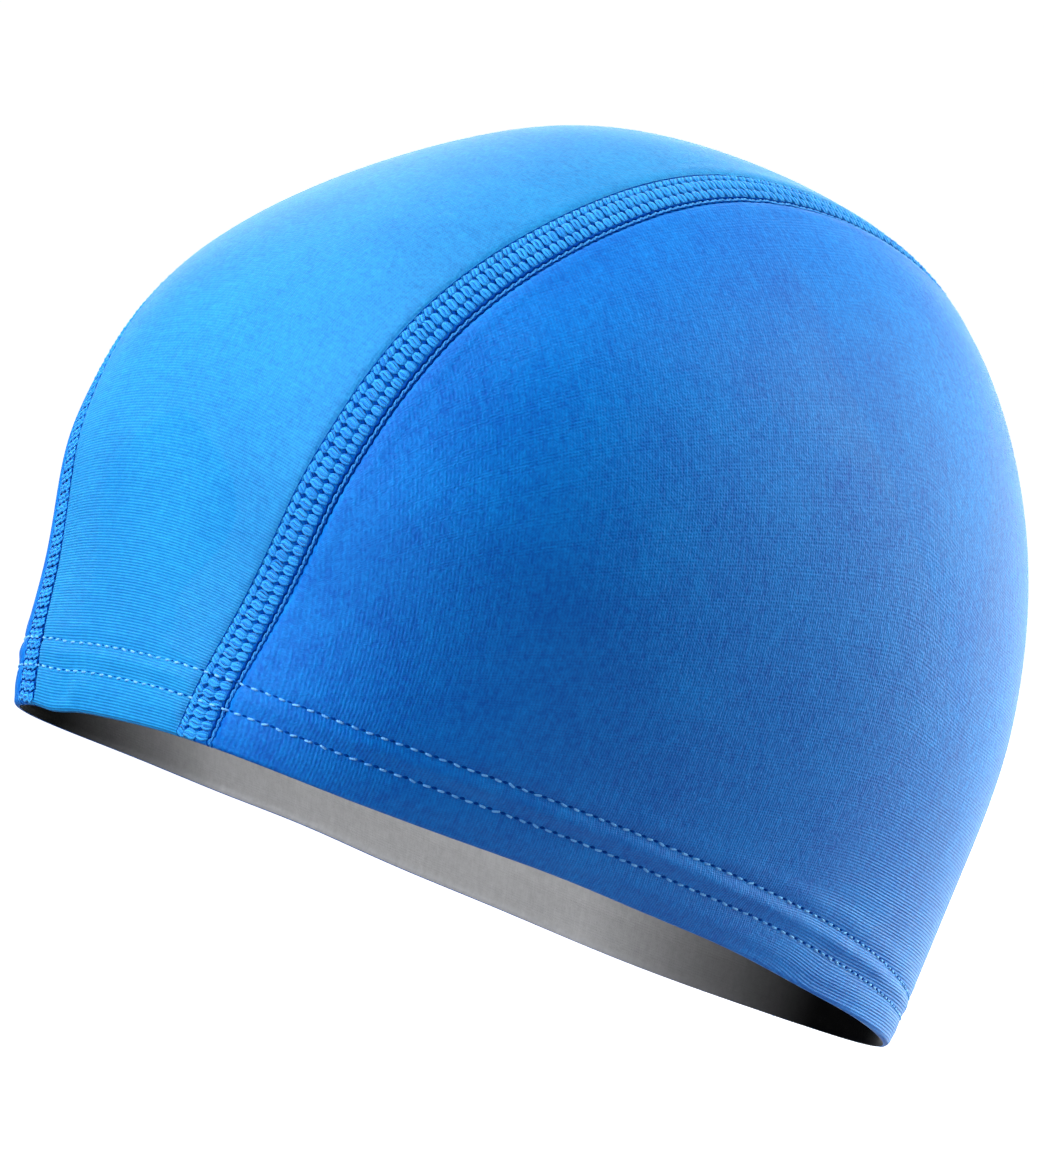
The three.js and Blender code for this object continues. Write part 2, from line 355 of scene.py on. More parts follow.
def new_piece(name, points, faces, materials, face_materials=None, knit=None):
    """A mesh piece from points in millimetres in the cap's frame."""
    mesh = bpy.data.meshes.new(name)
    mesh.from_pydata(to_row(points).tolist(), [], faces)
    for material in materials:
        mesh.materials.append(material)
    if face_materials is not None:
        mesh.polygons.foreach_set("material_index", np.asarray(face_materials, np.int32))
    if knit is not None:
        attribute = mesh.attributes.new("knit", "FLOAT_VECTOR", "POINT")
        attribute.data.foreach_set("vector", np.asarray(knit, np.float32).ravel())
    mesh.polygons.foreach_set("use_smooth", np.ones(len(mesh.polygons), bool))
    mesh.validate()
    mesh.update()
    piece = bpy.data.objects.new(name, mesh)
    bpy.context.scene.collection.objects.link(piece)
    return piece


def sheet_faces(rows, columns, turned_over):
    """Faces of a closed sheet from an outer and an inner grid, and which of them are inside."""
    index = np.arange(rows * columns).reshape(rows, columns)
    under = index + rows * columns
    corners = (index[:-1, :-1], index[:-1, 1:], index[1:, 1:], index[1:, :-1])
    outer = np.stack(corners, -1).reshape(-1, 4)
    inner = (outer + rows * columns)[:, ::-1]
    sides = [
        np.stack([index[:-1, 0], index[1:, 0], under[1:, 0], under[:-1, 0]], -1),
        np.stack([index[:-1, -1], under[:-1, -1], under[1:, -1], index[1:, -1]], -1),
        np.stack([index[0, :-1], under[0, :-1], under[0, 1:], index[0, 1:]], -1),
        np.stack([index[-1, :-1], index[-1, 1:], under[-1, 1:], under[-1, :-1]], -1),
    ]
    faces = np.concatenate([outer, inner, *sides])
    inside = np.zeros(len(faces), np.int32)
    inside[len(outer):2 * len(outer)] = 1
    if turned_over:
        faces = faces[:, ::-1]
    return faces.tolist(), inside


def round_fold(edge, normal, down, turns, radius=FOLD_RADIUS):
    """Rows of points round the rim's fold at turns from its outer side, and the outward directions."""
    outward = np.array([normal * math.cos(a) + down * math.sin(a) for a in turns])
    return edge - FOLD_RADIUS * normal + radius * outward, outward


def down_at(direction):
    """The way down along the cloth towards the rim, at directions near it."""
    lower = direction - np.array([0, 0, STEP])
    return unit(dome_point(lower) - dome_point(direction))


FOLD_TURNS = np.linspace(0, CLOTH_WRAP, 8)[1:]
REVERSE_RELIEF = 0.8


def cloth_grids(direction, rim_rows):
    """Outer and inner points of cloth on a grid of directions. rim_rows gives the rows that lie at
    the rim, 0 for the first and -1 for the last, where the cloth is folded under."""
    points = dome_point(direction)
    normal = dome_normal(direction)
    out = relief(direction, points)[..., None]
    outer = list(points + normal * out)
    inner = list(points + normal * (REVERSE_RELIEF * out - WALL))
    for row in rim_rows:
        edge = points[row], normal[row], down_at(direction[row]), FOLD_TURNS
        outer_fold = list(round_fold(*edge)[0])
        inner_fold = list(round_fold(*edge, FOLD_RADIUS - WALL)[0])
        outer = outer_fold[::-1] + outer if row == 0 else outer + outer_fold
        inner = inner_fold[::-1] + inner if row == 0 else inner + inner_fold
    return np.array(outer), np.array(inner)


def cloth_piece(name, direction, rim_rows, turned_over, rib_coordinates, fabric):
    outer, inner = cloth_grids(direction, rim_rows)
    rows, columns = outer.shape[:2]
    faces, inside = sheet_faces(rows, columns, turned_over)
    points = np.concatenate([outer.reshape(-1, 3), inner.reshape(-1, 3)])
    knit = np.concatenate([rib_coordinates(outer), rib_coordinates(outer)])
    return new_piece(name, points, faces, [fabric, cap_reverse], inside, knit)


def length_along(grid, axis):
    """Running length along a grid's rows or columns."""
    step = np.linalg.norm(np.diff(grid, axis=axis), axis=-1)
    pad = [(0, 0), (0, 0)]
    pad[axis] = (1, 0)
    return np.pad(np.cumsum(step, axis=axis), pad)


def start_turn(lateral):
    return np.arcsin(FOLD_RADIUS / (CAP_HEIGHT * np.sqrt(1 - lateral ** 2)))


# How clear the knit's ribs or courses are: the least, how much more near the rim, and where along
# the cloth or up the head that fades. They are clearest near the rim, where the cloth is stretched.
CENTRE_RIBS = {"least": 0.04, "more": 0.9, "start": 24.0, "fade": 50.0}
SIDE_RIBS = {"least": 0.06, "more": 0.14, "start": 20.0, "fade": 45.0}
SIDE_COURSES = {"least": 0.1, "more": 0.6, "start": 18.0, "fade": 34.0}


def clearness(away, least, more, start, fade):
    return least + more * np.clip(1 - (away - start) / fade, 0, 1)


CENTRE_ROWS = 250
CENTRE_COLUMNS = 80
CENTRE_ROW_CROWDING = 0.6
CENTRE_COLUMN_CROWDING = 0.55


def centre_panel():
    share = share_rows(CENTRE_ROWS, CENTRE_ROW_CROWDING)[:, None]
    start = start_turn(seam_lateral(np.zeros(1)))
    turn = start + share * (math.pi - 2 * start)
    edge = beside_seam(turn[:, 0], -JOINT_HALF)[:, None]
    lateral = (2 * share_rows(CENTRE_COLUMNS, CENTRE_COLUMN_CROWDING)[None, :] - 1) * edge
    first = start_turn(lateral)
    turn = first + share * (math.pi - 2 * first)
    direction = over_head(turn, lateral)

    def rib_coordinates(grid):
        middle = grid.shape[1] // 2
        along = length_along(grid, 0)[:, middle:middle + 1] + 0 * grid[..., 0]
        clear = clearness(np.minimum(along, along.max() - along), **CENTRE_RIBS)
        return np.stack([along, grid[..., 0], clear], -1).reshape(-1, 3)

    return cloth_piece("cap_panel_center", direction, (0, -1), False, rib_coordinates, centre_fabric_painted_sheen)


GRAIN_LEAN = math.radians(12)
GRAIN_RADIUS = 95.0
BEHIND_START = 1.75
BEHIND_FADE = 0.5
HEM_STRIP_TOP = 22.0
HEM_STRIP_ROWS = 44
SIDE_ROWS = 84
SIDE_COLUMNS = 160
SIDE_CROWDING = 0.68
TOP_CROWDING = 1.6
SIDE_EDGE_POINTS = 900


def side_panel(name, side):
    """A panel over one ear: a strip parallel to the rim, and above it a grid that is blended from
    the strip's top and the seam's front, top and back."""
    def on_seam(turn):
        return over_head(turn, beside_seam(turn, JOINT_HALF))

    turns = np.linspace(STEP, math.pi - STEP, SIDE_EDGE_POINTS)
    seam = on_seam(turns)
    seam_height = CAP_HEIGHT * seam[:, 2] - rim_height(heading_of(seam))
    front_half = turns < FRONT_CORNER_TURN
    back_half = turns > BACK_CORNER_TURN
    heights = np.linspace(FOLD_RADIUS, HEM_STRIP_TOP, HEM_STRIP_ROWS)
    front_turns = np.interp(heights, seam_height[front_half], turns[front_half])
    back_turns = np.interp(heights, seam_height[back_half][::-1], turns[back_half][::-1])
    first = heading_of(on_seam(front_turns))[:, None]
    last = heading_of(on_seam(back_turns))[:, None]
    u = share_rows(SIDE_COLUMNS, SIDE_CROWDING)[None, :]
    heading = first + u * (last - first)
    strip = round_rim(heading, heights[:, None] + rim_height(heading))

    v = 1 - (1 - np.linspace(0, 1, SIDE_ROWS)[:, None, None]) ** TOP_CROWDING
    u = u[..., None]
    lower = strip[-1][None]
    top_turn = FRONT_CORNER_TURN + u[0, :, 0] * (BACK_CORNER_TURN - FRONT_CORNER_TURN)
    upper = on_seam(top_turn)[None]
    front = on_seam(front_turns[-1] + v[:, 0, 0] * (FRONT_CORNER_TURN - front_turns[-1]))[:, None]
    back = on_seam(back_turns[-1] + v[:, 0, 0] * (BACK_CORNER_TURN - back_turns[-1]))[:, None]
    blended = (lower * (1 - v) + upper * v + front * (1 - u) + back * u
               - lower[:, :1] * (1 - u) * (1 - v) - lower[:, -1:] * u * (1 - v)
               - upper[:, :1] * (1 - u) * v - upper[:, -1:] * u * v)
    direction = np.concatenate([strip, unit(blended)[1:]])
    direction = direction * np.array([side, 1.0, 1.0])

    def rib_coordinates(grid):
        upright = np.arctan2(grid[..., 2], np.abs(grid[..., 0])) * GRAIN_RADIUS
        aside = np.abs(np.arctan2(grid[..., 0], -grid[..., 1]))
        behind = np.clip((aside - BEHIND_START) / BEHIND_FADE, 0, 1)
        behind = behind * behind * (3 - 2 * behind)
        across = grid[..., 1] * math.cos(GRAIN_LEAN) + grid[..., 2] * math.sin(GRAIN_LEAN)
        along = upright * math.cos(GRAIN_LEAN) - grid[..., 1] * math.sin(GRAIN_LEAN)
        along = along + (grid[..., 2] - along) * behind
        clear = clearness(upright, **SIDE_RIBS) * (1 - behind)
        clear = clear - clearness(grid[..., 2], **SIDE_COURSES) * behind
        return np.stack([across, along, clear], -1).reshape(-1, 3)

    return cloth_piece(name, direction, (0,), side < 0, rib_coordinates, side_fabric)


def tubes(name, paths, ups, radii, sides, material, flat=1.0, shades=None):
    """Closed tubes along paths, all in one mesh. ups are the outward directions along each path,
    radii the tube's radius at each point, flat how thick it is against its width, and shades each
    tube's brightness from 0 to 1, random when none are given."""
    paths = np.asarray(paths, float)
    strands, stations = paths.shape[:2]
    along = unit(np.gradient(paths, axis=1))
    sideways = unit(np.cross(along, ups))
    upward = np.cross(sideways, along)
    angle = np.arange(sides) * 2 * math.pi / sides
    radii = np.broadcast_to(radii, (strands, stations))[..., None, None]
    ring = (sideways[..., None, :] * np.cos(angle)[:, None]
            + upward[..., None, :] * np.sin(angle)[:, None] * flat) * radii
    points = (paths[..., None, :] + ring).reshape(-1, 3)
    index = np.arange(strands * stations * sides).reshape(strands, stations, sides)
    turned = np.roll(index, -1, axis=2)
    walls = np.stack([index[:, :-1], turned[:, :-1], turned[:, 1:], index[:, 1:]], -1).reshape(-1, 4)
    faces = walls.tolist() + index[:, 0, ::-1].tolist() + index[:, -1].tolist()
    length = length_along(paths, 1)
    shades = np.random.default_rng(SEED).random(strands) if shades is None else shades
    knit = np.stack(np.broadcast_arrays(length[..., None], angle[None, None, :], shades[:, None, None]), -1)
    return new_piece(name, points, faces, [material], None, knit.reshape(-1, 3))


SEAM_STATIONS = 700
BAND_FOLD_TURNS = np.linspace(0, CLOTH_WRAP, 9)[1:]
SINK_LENGTH = 2.0
TUCK_START = 1.0
TUCK_LENGTH = 2.5


def seam_tables():
    """The seam's band as three lines on the cloth, at its two edges and its middle, with normals,
    by length along the middle line. At both ends the lines go round the rim's fold."""
    turns = np.linspace(0, math.pi, SEAM_STATIONS)
    lines = []
    for distance in (-SEAM_HALF, 0.0, SEAM_HALF):
        lateral = beside_seam(turns, distance)
        first = start_turn(lateral)
        at = first + turns / math.pi * (math.pi - 2 * first)
        lateral = beside_seam(at, distance)
        direction = over_head(at, lateral)
        points = dome_point(direction)
        normal = dome_normal(direction)
        before = round_fold(points[0], normal[0], down_at(direction[0]), BAND_FOLD_TURNS)
        after = round_fold(points[-1], normal[-1], down_at(direction[-1]), BAND_FOLD_TURNS)
        all_points = np.concatenate([before[0][::-1], points, after[0]])
        all_normals = np.concatenate([before[1][::-1], normal, after[1]])
        lines.append((all_points, all_normals))
    middle = lines[1][0]
    length = np.concatenate([[0], np.cumsum(np.linalg.norm(np.diff(middle, axis=0), axis=-1))])
    return length, lines


seam_length, seam_lines = seam_tables()


def sunk(along):
    """How deep the band lies below the plain dome: nothing round the rim's fold."""
    fold_end = CLOTH_WRAP * FOLD_RADIUS
    from_end = np.minimum(along, seam_length[-1] - along)
    return BAND_SINK * np.clip((from_end - fold_end) / SINK_LENGTH, 0, 1)


def tucked(along):
    """0 round the rim's fold, where the threads are drawn tight, and 1 from a little above it."""
    from_end = np.minimum(along, seam_length[-1] - along)
    return np.clip((from_end - TUCK_START) / TUCK_LENGTH, 0, 1)


def on_band(along, across, depth, side):
    """Points on a seam's band: a length along it, a distance across it outward from the middle of
    the head, and a height above the band's ground. Also the outward normals there."""
    share = across / SEAM_HALF
    weights = (share * (share - 1) / 2, 1 - share ** 2, share * (share + 1) / 2)
    point = 0
    normal = 0
    for weight, (points, normals) in zip(weights, seam_lines):
        at = [np.interp(along, seam_length, points[:, k]) for k in range(3)]
        facing = [np.interp(along, seam_length, normals[:, k]) for k in range(3)]
        point = point + weight[..., None] * np.stack(at, -1)
        normal = normal + weight[..., None] * np.stack(facing, -1)
    normal = unit(normal)
    point = point + normal * (np.asarray(depth) - sunk(along))[..., None]
    mirror = np.array([side, 1.0, 1.0])
    return point * mirror, normal * mirror


# Needle rows across the band from the centre panel outward, and each row's place along the pitch.
NEEDLE_ROWS = (
    {"across": -4.2, "phase": 0.22},
    {"across": -2.4, "phase": 0.0},
    {"across": 0.65, "phase": 0.22},
    {"across": 3.0, "phase": 0.32},
)
BED_THICKNESS = 0.35
BED_ROWS = 420
BED_COLUMNS = 11
BED_RISE = 0.02
BED_EDGE_DROP = 0.16


def seam_bed(name, side):
    """The strip of dark ground thread under the band's bundles, rounded off at both edges. Where it
    shows between the bundles, its darkness is partly painted shade between them.
    """
    across = np.linspace(-SEAM_HALF, SEAM_HALF, BED_COLUMNS)
    along = np.linspace(0, seam_length[-1], BED_ROWS)
    along_grid, across_grid = np.meshgrid(along, across, indexing="ij")
    crown = BED_RISE - BED_EDGE_DROP * np.abs(across_grid / SEAM_HALF) ** 5
    outer, _ = on_band(along_grid, across_grid, crown, side)
    inner, _ = on_band(along_grid, across_grid, crown - BED_THICKNESS, side)
    faces, _ = sheet_faces(*outer.shape[:2], side > 0)
    knit = np.stack([along_grid, across_grid, 0 * along_grid], -1).reshape(-1, 3)
    points = np.concatenate([outer.reshape(-1, 3), inner.reshape(-1, 3)])
    return new_piece(name, points, faces, [seam_ground], None, np.concatenate([knit, knit]))


# Bundles of thread between needle rows: their height at both ends and how much they rise between,
# the half spread of the strands at both ends and midway, where the top of the rise is pulled, and
# how far the strands bend along the band on the way.
BUNDLES = (
    {"near": 0.12, "far": 0.18, "rise": 0.18, "ends": (0.34, 0.3), "midway": 0.72, "pull": 1.0, "bend": 0.1},
    {"near": 0.18, "far": 0.18, "rise": 0.2, "ends": (0.3, 0.28), "midway": 0.74, "pull": 0.9, "bend": 0.22},
    {"near": 0.18, "far": 0.04, "rise": 0.2, "ends": (0.28, 0.36), "midway": 0.7, "pull": 0.8, "bend": 0.0},
)
STRAND_OFFSETS = (-1.0, -0.34, 0.34, 1.0)
# Each strand's brightness by its place in a bundle, light and dark in turn: painted highlight and painted
# shade that set the strands apart.
STRAND_HIGHLIGHT_AND_SHADE = (0.75, 0.15, 1.0, 0.3)
REVERSE_OFFSETS = (-1.0, 1.0)
STRAND_RADIUS = 0.265
STRAND_END = 0.74
STRAND_OVERLAP = 0.08
SHADE_LIFT = 0.16
BUNDLE_STATIONS = 5
FIRST_STITCH = 0.7
LAST_STITCH_CLEAR = 2.2
PLACE_SPREAD = 0.05
LIFT_SPREAD = 0.12
SHADE_SPREAD = 0.2
TUCKED_HEIGHT = 0.3
REVERSE_HEIGHT = 0.5
REVERSE_WIDENING = 1.5


def seam_threads(name, side, inside=False):
    """The bundles of thread across the band. inside gives the plainer row on the cloth's reverse."""
    random = np.random.default_rng(SEED + (side > 0) + 2 * inside)
    stitches = np.arange(FIRST_STITCH, seam_length[-1] - LAST_STITCH_CLEAR, SEAM_PITCH)
    share = np.linspace(0, 1, BUNDLE_STATIONS)
    paths, ups, shades = [], [], []
    for near, far, bundle in zip(NEEDLE_ROWS[:-1], NEEDLE_ROWS[1:], BUNDLES):
        across = near["across"] + share * (far["across"] - near["across"]) + (2 * share - 1) * STRAND_OVERLAP
        phase = 0.5 + near["phase"] + share * (far["phase"] - near["phase"])
        ends = bundle["ends"][0] + share * (bundle["ends"][1] - bundle["ends"][0])
        spread = ends + (bundle["midway"] - ends) * np.sin(math.pi * share)
        rise = bundle["rise"] * np.sin(math.pi * share ** bundle["pull"])
        # A strand's brightness is its painted highlight or shade plus a random tone of its own, and the
        # lighter strands lie higher.
        for offset, shade in zip(REVERSE_OFFSETS if inside else STRAND_OFFSETS, STRAND_HIGHLIGHT_AND_SHADE):
            jitter = random.normal(0, PLACE_SPREAD, (len(stitches), 1))
            lift = random.normal(1, LIFT_SPREAD, (len(stitches), 1)) + 0.5 * (shade - 0.5)
            shades.append(np.clip(shade + random.normal(0, SHADE_SPREAD, len(stitches)), 0, 1))
            bend = bundle["bend"] * np.sin(2 * math.pi * share)
            along = stitches[:, None] + phase * SEAM_PITCH + offset * spread + bend + jitter
            height = bundle["near"] + share * (bundle["far"] - bundle["near"]) + rise * lift
            height = height + SHADE_LIFT * (shade - 0.5) * np.sin(math.pi * share)
            height = height * (TUCKED_HEIGHT + (1 - TUCKED_HEIGHT) * tucked(along))
            if inside:
                height = -WALL - REVERSE_HEIGHT * height
            along = np.clip(along, 0, seam_length[-1])
            point, normal = on_band(along, across + 0 * along, height, side)
            paths.append(point)
            ups.append(normal)
    paths = np.concatenate(paths)
    ups = np.concatenate(ups)
    shades = np.concatenate(shades)
    profile = STRAND_RADIUS * (STRAND_END + (1 - STRAND_END) * np.sin(math.pi * share))
    if inside:
        return tubes(name, paths, ups, REVERSE_WIDENING * profile, 5, reverse_thread, 0.5, shades)
    return tubes(name, paths, ups, profile, 6, seam_thread, 0.9, shades)


# Dark beads in the needle holes: painted shade in the openings between the bundles.
SEAM_HOLE = {"length": 1.15, "radius": 0.46, "height": 0.1, "slant": 0.12, "power": 1.4}
HOLES_END_CLEAR = 3.0
BEAD_STATIONS = 5
BEAD_END = 1.05


def seam_holes(name, side):
    """The needle holes between the bundles, in the band's two middle rows, as dark sunken beads. Their
    darkness is painted shade in the holes.
    """
    random = np.random.default_rng(SEED + 20 + (side > 0))
    stitches = np.arange(FIRST_STITCH + SEAM_PITCH, seam_length[-1] - HOLES_END_CLEAR, SEAM_PITCH)
    share = np.linspace(-1, 1, BEAD_STATIONS)
    paths, ups = [], []
    for row in NEEDLE_ROWS[1:3]:
        shift = random.normal(0, PLACE_SPREAD, (len(stitches), 1))
        across = row["across"] + share * SEAM_HOLE["length"] / 2 + 0 * shift
        along = stitches[:, None] + row["phase"] * SEAM_PITCH + shift - SEAM_HOLE["slant"] * share
        height = SEAM_HOLE["height"] * tucked(along)
        point, normal = on_band(along, across, height, side)
        paths.append(point)
        ups.append(normal)
    radii = SEAM_HOLE["radius"] * np.sqrt(np.clip(BEAD_END - np.abs(share) ** SEAM_HOLE["power"], 0, 1))
    return tubes(name, np.concatenate(paths), np.concatenate(ups), radii, 7, needle_thread_and_hole_shade, flat=0.5)


# Where along the seam its edge threads lie slack on the crown, and how far from there.
SLACK_AT = 0.46 * seam_length[-1]
SLACK_REACH = 22.0
STRAY = 0.6


def seam_wander(along):
    """How far the edge threads stray across the band, a little everywhere and more on the crown,
    where they lie slack."""
    slack = hump(along, SLACK_AT, SLACK_REACH) * (0.22 + 0.3 * np.sin(along * 0.9))
    return 0.06 * np.sin(along / 9.0) + 0.04 * np.sin(along / 3.1) + slack


CORD = {"across": 3.78, "round": 0.17, "sway": 0.1, "height": 0.08, "rise": 0.1, "radius": 0.15, "end": 0.6}


def seam_cord(name, side):
    """The pale twisted cord near the band's outer edge: two strands round each other."""
    along = np.arange(0, seam_length[-1], SEAM_PITCH / 7)
    paths, ups = [], []
    for start in (0, math.pi):
        turn = along * 2 * math.pi / SEAM_PITCH + start
        sway = CORD["sway"] * np.sin(along * 2 * math.pi / SEAM_PITCH)
        across = CORD["across"] + CORD["round"] * np.cos(turn) + sway + STRAY * seam_wander(along)
        height = (CORD["height"] + CORD["rise"] * np.sin(turn)) * tucked(along)
        point, normal = on_band(along, across, height, side)
        paths.append(point)
        ups.append(normal)
    radii = CORD["radius"] * (CORD["end"] + (1 - CORD["end"]) * tucked(along))
    return tubes(name, paths, ups, radii, 5, cord_thread)


# Dark thread lines along the band: place across, thin and thick radius, height, where along the
# pitch the needle pulls them thick, and how much thinner they are over the crown. The thick places
# at the needles are painted shade of the needle holes, and the inner line also stands for the
# shadow in the gap at the band's edge, a painted shadow.
DARK_LINES = (
    {"name": "inner", "across": -4.4, "thin": 0.07, "thick": 0.33, "height": 0.26, "phase": 0.22, "fade": 0},
    {"name": "cord", "across": 3.2, "thin": 0.2, "thick": 0.5, "height": 0.16, "phase": 0.32, "fade": 0.5},
    {"name": "outer", "across": 4.2, "thin": 0.1, "thick": 0.3, "height": 0.06, "phase": 0.55, "fade": 0.4},
)
LINE_SWAY = 0.3
LINE_FADE_REACH = 75.0


def seam_dark_line(name, side, line):
    along = np.arange(0, seam_length[-1], SEAM_PITCH / 6)
    pull = (0.5 + 0.5 * np.cos(2 * math.pi * (along / SEAM_PITCH - line["phase"]))) ** 3
    across = line["across"] + LINE_SWAY * (pull - 0.5) + STRAY * seam_wander(along)
    point, normal = on_band(along, across, line["height"] * tucked(along), side)
    slack = 1 - line["fade"] * hump(along, 0.5 * seam_length[-1], LINE_FADE_REACH)
    radii = (line["thin"] + (line["thick"] - line["thin"]) * pull) * (0.5 + 0.5 * tucked(along)) * slack
    return tubes(name, point[None], normal[None], radii[None], 5, needle_thread_and_hole_shade, flat=0.7)


COURSE_POINTS = 2001


class RimCourse:
    """A row of stitches, evenly spaced by length round the head at a height above the rim."""

    def __init__(self, height, phase):
        self.fine = np.linspace(-math.pi, math.pi, COURSE_POINTS)
        points = dome_point(round_rim(self.fine, rim_height(self.fine) + height))
        self.length = length_along(points[None], 1)[0]
        self.count = round(self.length[-1] / STITCH_PITCH)
        pitch = self.length[-1] / self.count
        middles = (np.arange(self.count) + 0.5) * self.length[-1] / self.count
        self.starts = middles + phase * pitch

    def headings(self, along):
        """Headings at lengths along the row before or past each stitch's middle."""
        at = np.mod(self.starts[:, None] + along, self.length[-1])
        return np.interp(at, self.length, self.fine)


OVER_BAND_HEIGHT = 0.1
OVER_BAND_MARGIN = 0.3
OVER_BAND_RAMP = 0.8


def on_cloth(heading, height, depth):
    """Points on the cloth near the hem, with its relief, and the normals there."""
    height = height * rows_share(heading)
    direction = round_rim(heading, rim_height(heading) + height)
    points = dome_point(direction)
    normal = dome_normal(direction)
    distance = seam_distance(points)
    over_band = np.clip((SEAM_HALF + OVER_BAND_MARGIN - distance) / OVER_BAND_RAMP, 0, 1)
    face = relief(direction, points) * (1 - over_band) + OVER_BAND_HEIGHT * over_band
    return points + normal * (face + depth)[..., None], normal


DASH = {"length": 1.5, "radius": 0.23, "end": 0.45, "rise": 0.28, "sink": 0.15}
DASH_LENGTH_SPREAD = 0.06
DASH_SKEW = 0.1
DASH_STATIONS = 7
# The hem's holes are dark beads a little above each gap between stitches: painted shade in the needle holes.
HEM_HOLE = {"length": 1.15, "radius": 0.3, "raise": 0.14, "least": 0.6}

# The holes are small over the brow and reach their full size within this turn past it.
SMALL_HOLES_TURN = math.radians(22)
SMALL_HOLES_FADE = math.radians(30)


def hem_stitches(name, height, phase):
    """One row of stitches round the hem: a short raised thread for each stitch."""
    random = np.random.default_rng(SEED + int(height))
    course = RimCourse(height, phase)
    share = np.linspace(-1, 1, DASH_STATIONS)
    size = DASH["length"] * random.normal(1, DASH_LENGTH_SPREAD, (course.count, 1))
    skew = random.normal(0, DASH_SKEW, (course.count, 1))
    heading = course.headings(share * size / 2)
    depth = DASH["rise"] * np.sqrt(1 - share ** 2) - DASH["sink"]
    point, normal = on_cloth(heading, height + skew * share, depth + 0 * heading)
    radii = DASH["radius"] * (DASH["end"] + (1 - DASH["end"]) * np.sqrt(1 - np.abs(share) ** 3))
    return tubes(name, point, normal, radii, 7, hem_thread, flat=0.8)


def needle_holes(name, height, phase):
    """The holes between a row's stitches, as small dark sunken beads: painted shade in the holes."""
    share = np.linspace(-1, 1, BEAD_STATIONS)
    heading = RimCourse(height, phase + 0.5).headings(share * HEM_HOLE["length"] / 2)
    point, normal = on_cloth(heading, height + HEM_HOLE["raise"] + 0 * heading, 0.0 * heading)
    past_brow = np.clip((np.abs(heading) - SMALL_HOLES_TURN) / SMALL_HOLES_FADE, 0, 1)
    wide = HEM_HOLE["least"] + (1 - HEM_HOLE["least"]) * past_brow
    radii = HEM_HOLE["radius"] * wide * np.sqrt(np.clip(BEAD_END - share ** 2, 0, 1))
    return tubes(name, point, normal, radii, 7, needle_thread_and_hole_shade, flat=0.45)


HEM_COLUMNS = 300
HEM_ROWS = 30
HEM_CUT_EDGE_ROWS = 4
HEM_ROUND_RADIUS = 90.0
HEM_FOLD_TURNS = np.linspace(math.radians(80), math.pi, 8)
HEM_START = 0.8
FRILL = {"depth": 0.1, "count": 23, "phase": 0.9, "rise": 4.0}
HEM_INSIDE_ROWS = {"sink": 0.08, "half_width": 1.4}
HEM_INSIDE_PUFF = {"stands": 0.1, "half_width": 2.4}


def hem_layer(name):
    """The cloth turned up inside the rim: a ring from the fold's lowest point to its cut edge."""
    heading = np.linspace(-math.pi, math.pi, HEM_COLUMNS + 1)[:-1]
    direction = round_rim(heading, rim_height(heading) + FOLD_RADIUS)
    edge = dome_point(direction), dome_normal(direction), down_at(direction)
    heights = np.linspace(FOLD_RADIUS + HEM_START, HEM_DEPTH, HEM_ROWS)
    thick = HEM_OUTSIDE - HEM_INSIDE

    def raised(height, depth):
        at = round_rim(heading, rim_height(heading) + height)
        frill = FRILL["depth"] * np.abs(slow_wave(heading, FRILL["count"], FRILL["phase"]))
        frill = frill * max(0, (height - UPPER_ROW) / FRILL["rise"])
        return dome_point(at) + dome_normal(at) * (depth - frill)[:, None]

    def sunk_depth(height):
        at_rows = sum(hump(height, row, HEM_INSIDE_ROWS["half_width"]) for row in (LOWER_ROW, UPPER_ROW))
        puff = hump(height, (LOWER_ROW + UPPER_ROW) / 2, HEM_INSIDE_PUFF["half_width"])
        return HEM_INSIDE + HEM_INSIDE_ROWS["sink"] * at_rows - HEM_INSIDE_PUFF["stands"] * puff

    rows = list(round_fold(*edge, HEM_FOLD_TURNS, -HEM_INSIDE - FOLD_RADIUS)[0])
    rows += [raised(height, sunk_depth(height)) for height in heights]
    for turn in np.linspace(0, math.pi, HEM_CUT_EDGE_ROWS + 2)[1:-1]:
        depth = HEM_INSIDE + thick / 2 * (1 - math.cos(turn))
        rows.append(raised(HEM_DEPTH + thick / 2 * math.sin(turn), depth))
    rows += [raised(height, HEM_OUTSIDE) for height in heights[::-3]]
    rows += list(round_fold(*edge, HEM_FOLD_TURNS[::-1], -HEM_OUTSIDE - FOLD_RADIUS)[0])
    points = np.array(rows)
    count, columns = points.shape[:2]
    index = np.arange(count * columns).reshape(count, columns)
    ahead = np.roll(index, -1, axis=1)
    above = np.roll(index, -1, axis=0)
    faces = np.stack([index, ahead, np.roll(above, -1, axis=1), above], -1).reshape(-1, 4)
    around = heading * HEM_ROUND_RADIUS + 0 * points[..., 0]
    knit = np.stack([around, length_along(points, 0), 0 * around], -1).reshape(-1, 3)
    return new_piece(name, points.reshape(-1, 3), faces.tolist(), [cap_reverse], None, knit)


SHEEN_ROUGHNESS = 0.3


def new_material(name, base_color, roughness, specular=0.35, sheen=0.0, sheen_tint=(1, 1, 1)):
    material = bpy.data.materials.new(name)
    material.use_nodes = True
    nodes = material.node_tree.nodes
    shader = nodes["Principled BSDF"]
    shader.inputs["Base Color"].default_value = (*base_color, 1)
    shader.inputs["Roughness"].default_value = roughness
    shader.inputs["Specular IOR Level"].default_value = specular
    shader.inputs["Sheen Weight"].default_value = sheen
    shader.inputs["Sheen Roughness"].default_value = SHEEN_ROUGHNESS
    shader.inputs["Sheen Tint"].default_value = (*sheen_tint, 1)
    material.diffuse_color = (*base_color, 1)
    return material, material.node_tree, shader


